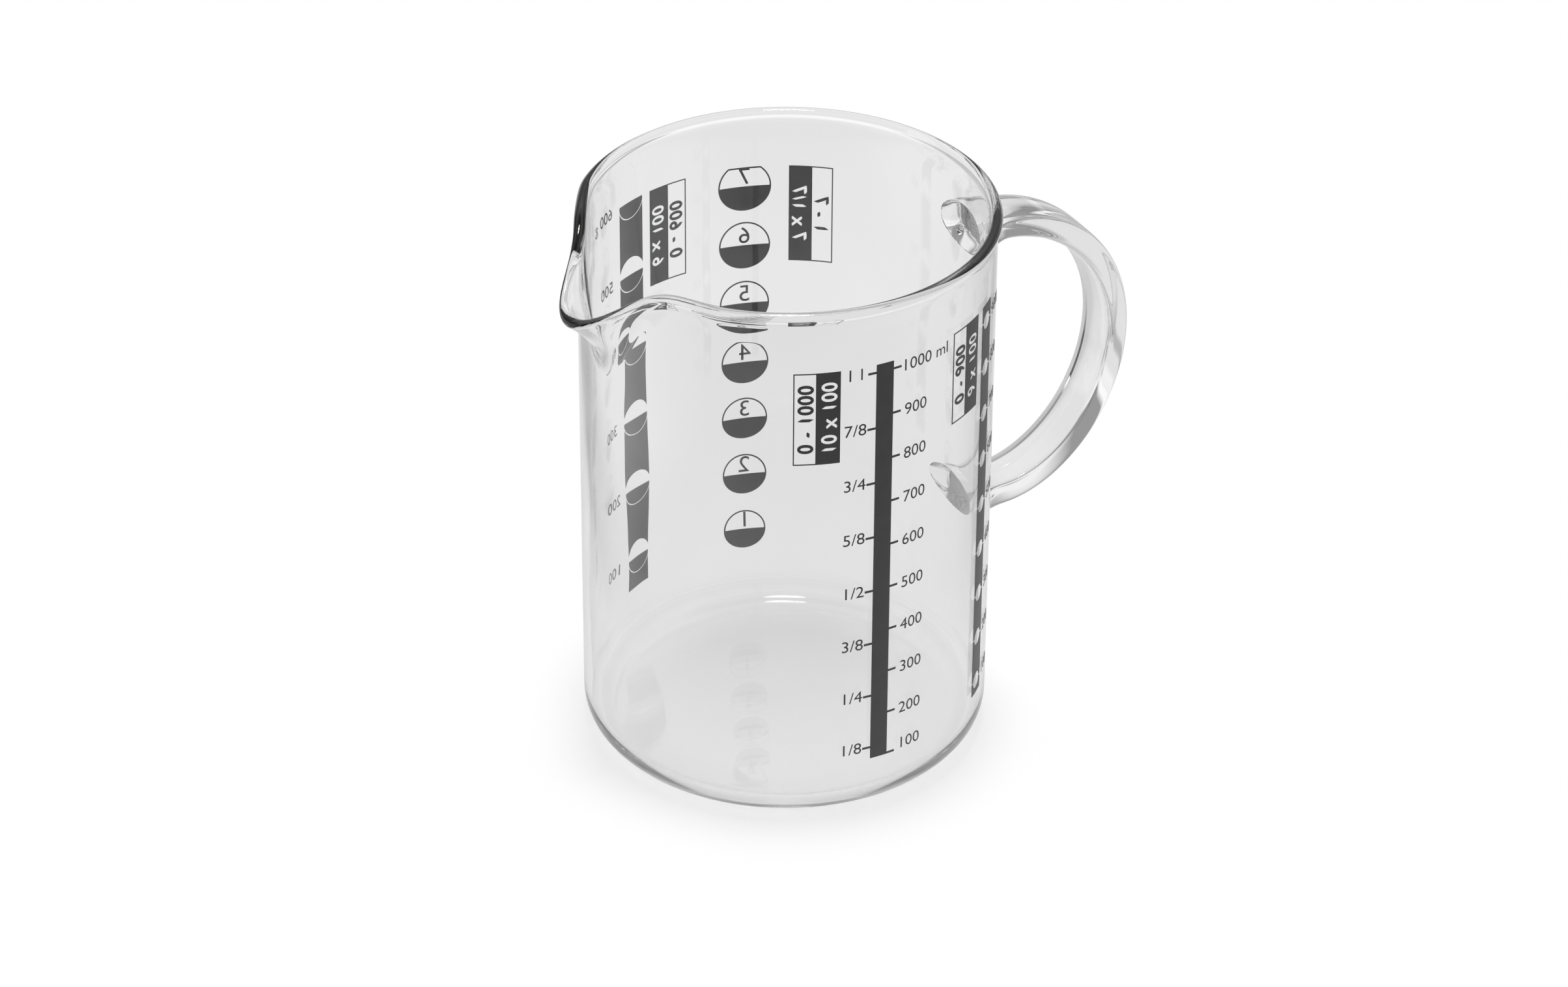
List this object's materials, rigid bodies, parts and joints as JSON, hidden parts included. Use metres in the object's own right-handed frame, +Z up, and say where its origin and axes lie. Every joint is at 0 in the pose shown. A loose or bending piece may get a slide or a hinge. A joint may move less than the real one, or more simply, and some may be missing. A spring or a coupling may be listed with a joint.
{
  "type": "measuring jug",
  "caption": "Straight-sided glass measuring jug with a pulled pouring spout, a fused loop handle and printed scales for litres, cups, flour and sugar.",
  "frame": {"origin": "on the jug's axis, at the plane of the ring that stands on the table", "axes": "+Z up along the jug's axis, +X towards the handle, the spout on -X"},
  "size_m": [0.159, 0.1066, 0.1493],
  "materials": {
    "clear_glass": "polished clear",
    "grey_enamel": "satin fired enamel"
  },
  "bodies": {
    "root": {"glass_vessel": "clear_glass", "glass_handle": "clear_glass", "litre_scale": "grey_enamel", "litre_label": "grey_enamel", "cup_scale": "grey_enamel", "cup_label": "grey_enamel", "flour_scale": "grey_enamel", "flour_label": "grey_enamel", "sugar_scale": "grey_enamel", "sugar_label": "grey_enamel"}
  },
  "joints": []
}
